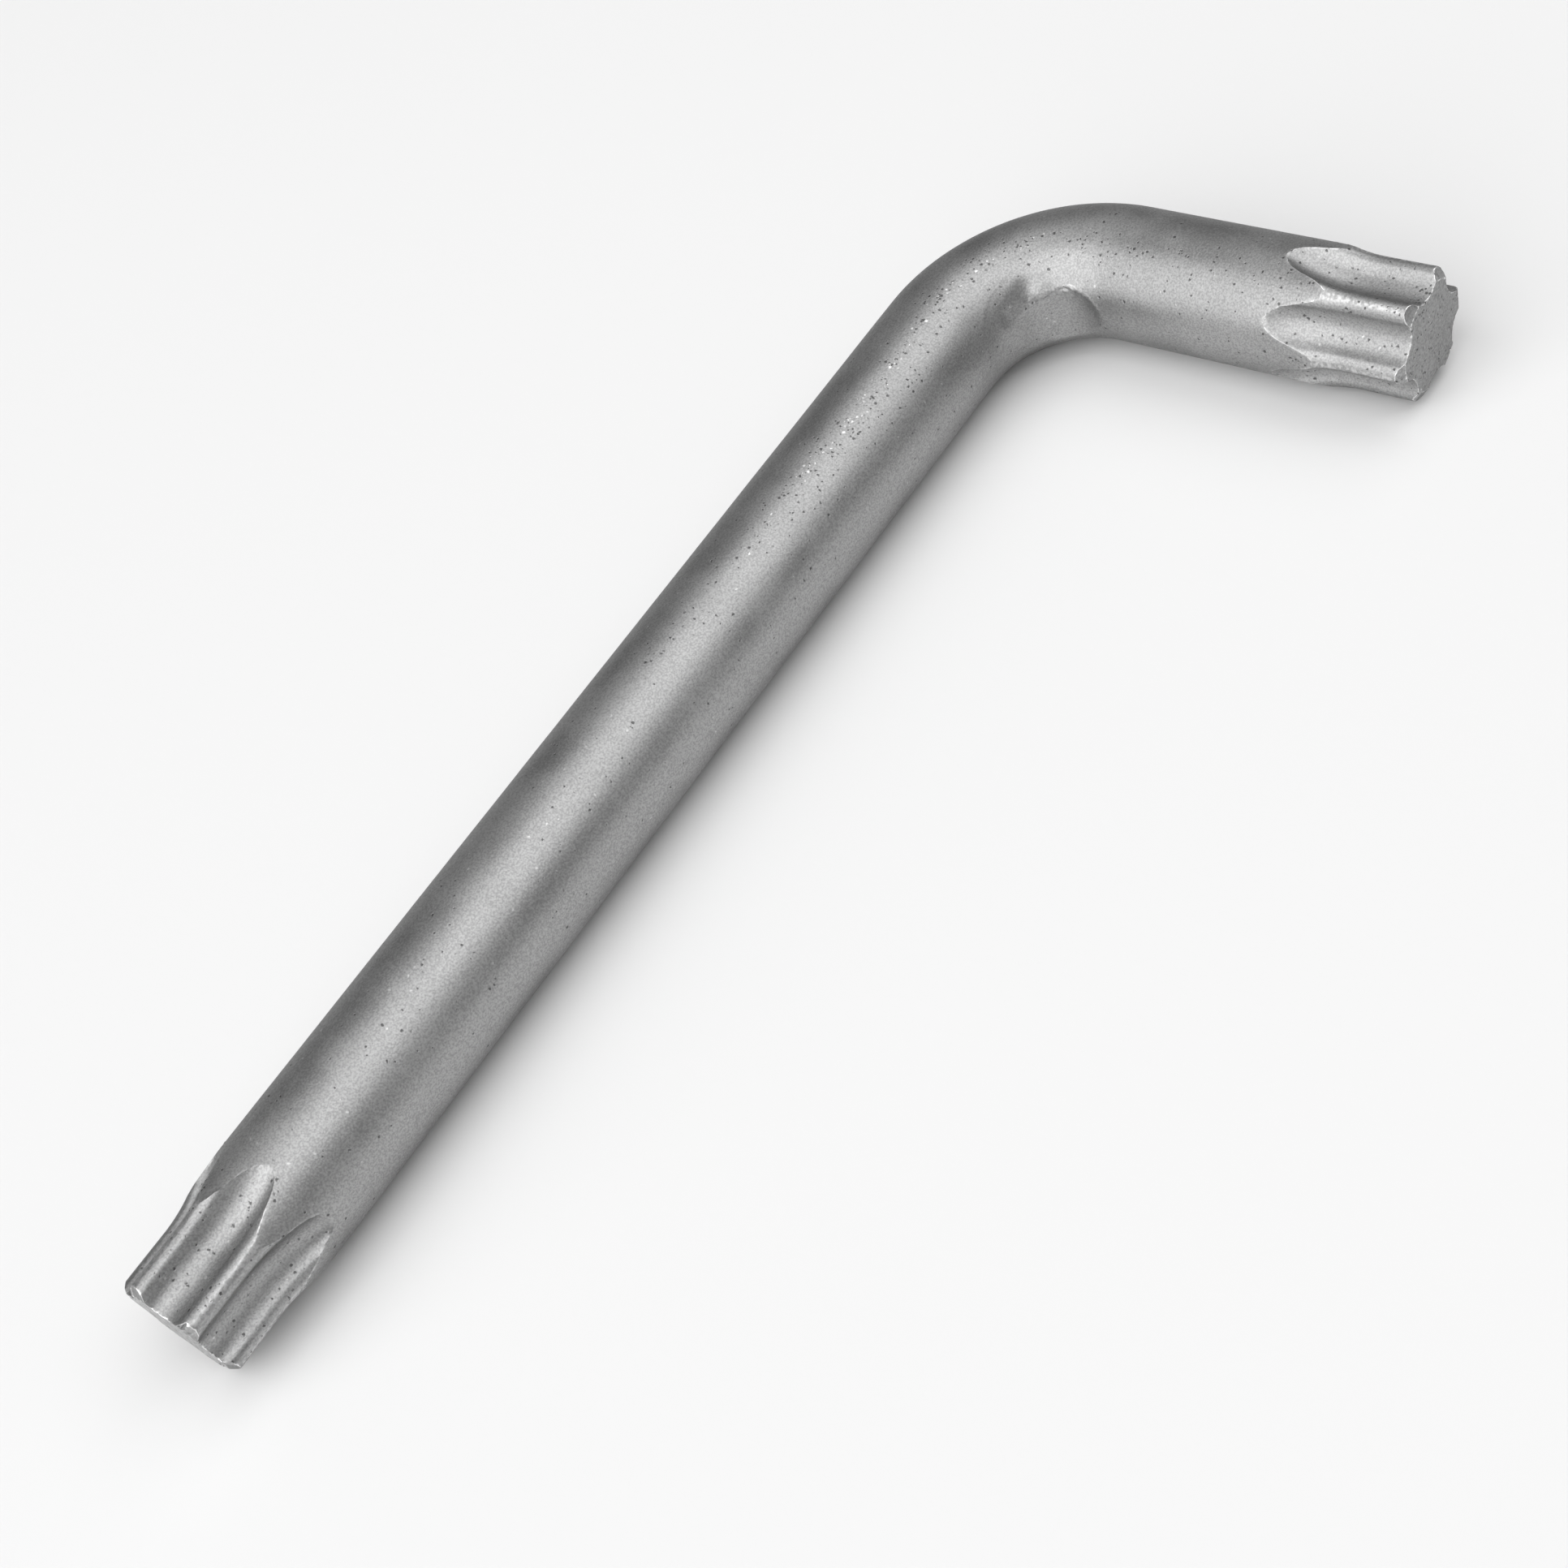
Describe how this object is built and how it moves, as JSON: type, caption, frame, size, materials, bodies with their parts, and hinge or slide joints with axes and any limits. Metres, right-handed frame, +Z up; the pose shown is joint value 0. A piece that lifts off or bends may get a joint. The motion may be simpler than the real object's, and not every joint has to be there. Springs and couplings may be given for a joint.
{
  "type": "star key",
  "caption": "L-shaped key of round steel bar with a lobed star drive forged on the end of each arm, for turning star-socket screws.",
  "frame": {"origin": "centre of the key's bounding box, on the surface that it lies on", "axes": "+X along the long arm from its tip to the bend, -Y along the short arm from the bend to its tip, +Z up from the surface"},
  "size_m": [0.123, 0.0464, 0.0116],
  "materials": {
    "satin_chrome": "satin chrome plate over forged steel, fine grain"
  },
  "bodies": {
    "root": {"star_key": "satin_chrome"}
  },
  "joints": []
}
